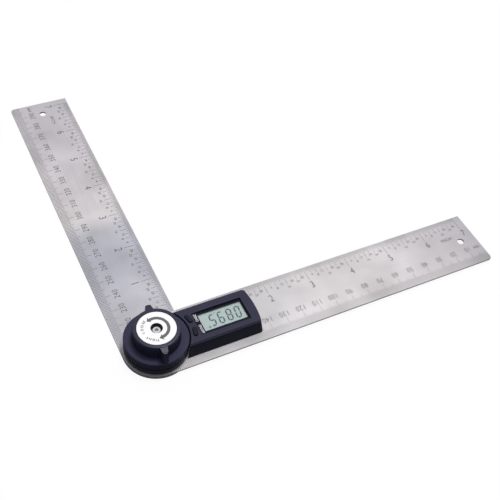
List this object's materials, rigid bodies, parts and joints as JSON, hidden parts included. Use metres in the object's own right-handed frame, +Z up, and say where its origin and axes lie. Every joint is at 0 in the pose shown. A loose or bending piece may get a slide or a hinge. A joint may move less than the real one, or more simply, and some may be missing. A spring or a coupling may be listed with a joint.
{
  "type": "digital angle finder",
  "caption": "Two steel rule arms on one clamped pivot, with a digital reading head on the upper arm, for measuring and setting angles.",
  "frame": {"origin": "centre of the pivot bolt's flat head, on the pivot axis, in the plane of the lower arm's underside", "axes": "+X along the upper arm, away from the pivot; +Z up the pivot axis, towards the knob; at rest the lower arm lies 89.5 degrees round from +X"},
  "size_m": [0.2175, 0.2176, 0.0188],
  "materials": {
    "ground_steel": "ground along the arm, with etched scales",
    "bolt_steel": "bright turned",
    "slip_plastic": "smooth low friction",
    "spring_steel": "rolled",
    "brass": "turned",
    "circuit_board": "lacquered board",
    "black_plastic": "fine moulded texture",
    "knob_plastic": "fine moulded texture",
    "white_label": "printed film",
    "ribbon_film": "glossy film",
    "chip_resin": "cast resin",
    "clear_window": "clear, with a dark printed border",
    "display_glass": "grey green display glass",
    "connector_rubber": "soft",
    "battery_steel": "bright can"
  },
  "bodies": {
    "display_arm": {"upper_blade": "ground_steel", "housing_base": "black_plastic", "housing_cover": "black_plastic", "stator_board": "circuit_board", "circuit_board": "circuit_board", "sensor_ribbon": "ribbon_film", "zero_dome": "spring_steel", "power_dome": "spring_steel", "control_chip": "chip_resin", "display_window": "clear_window", "display_panel": "display_glass", "display_connector_outer": "connector_rubber", "display_connector_inner": "connector_rubber", "coin_cell": "battery_steel", "battery_clip": "spring_steel", "battery_spring": "spring_steel", "housing_screw_1": "bolt_steel", "housing_screw_2": "bolt_steel", "housing_screw_3": "bolt_steel", "housing_screw_4": "bolt_steel"},
    "swing_arm": {"lower_blade": "ground_steel", "pivot_bolt": "bolt_steel", "slip_washer": "slip_plastic", "thrust_washer": "spring_steel", "rotor_hub": "brass", "rotor_disc": "circuit_board", "pivot_cap": "black_plastic"},
    "knob": {"knob_body": "knob_plastic", "knob_insert": "brass", "knob_label": "white_label"},
    "zero_key": {"zero_button": "black_plastic"},
    "power_key": {"power_button": "black_plastic"},
    "door": {"battery_door": "black_plastic"}
  },
  "joints": [
    {"name": "arm_swing", "type": "hinge", "parent": "display_arm", "child": "swing_arm", "pos_m": [0, 0, 0], "axis": [0, 0, 1], "continuous": true},
    {"name": "knob_turn", "type": "hinge", "parent": "swing_arm", "child": "knob", "pos_m": [0, 0, 0], "axis": [0, 0, 1], "range_deg": [0, 180]},
    {"name": "zero_press", "type": "slide", "parent": "display_arm", "child": "zero_key", "axis": [0, 0, -1], "range_m": [0, 0.0005], "stiffness_N_per_m": 500},
    {"name": "power_press", "type": "slide", "parent": "display_arm", "child": "power_key", "axis": [0, 0, -1], "range_m": [0, 0.0005], "stiffness_N_per_m": 500},
    {"name": "door_turn", "type": "hinge", "parent": "display_arm", "child": "door", "pos_m": [0.0361, 0, 0.0014], "axis": [0, 0, 1], "range_deg": [0, 40]}
  ]
}
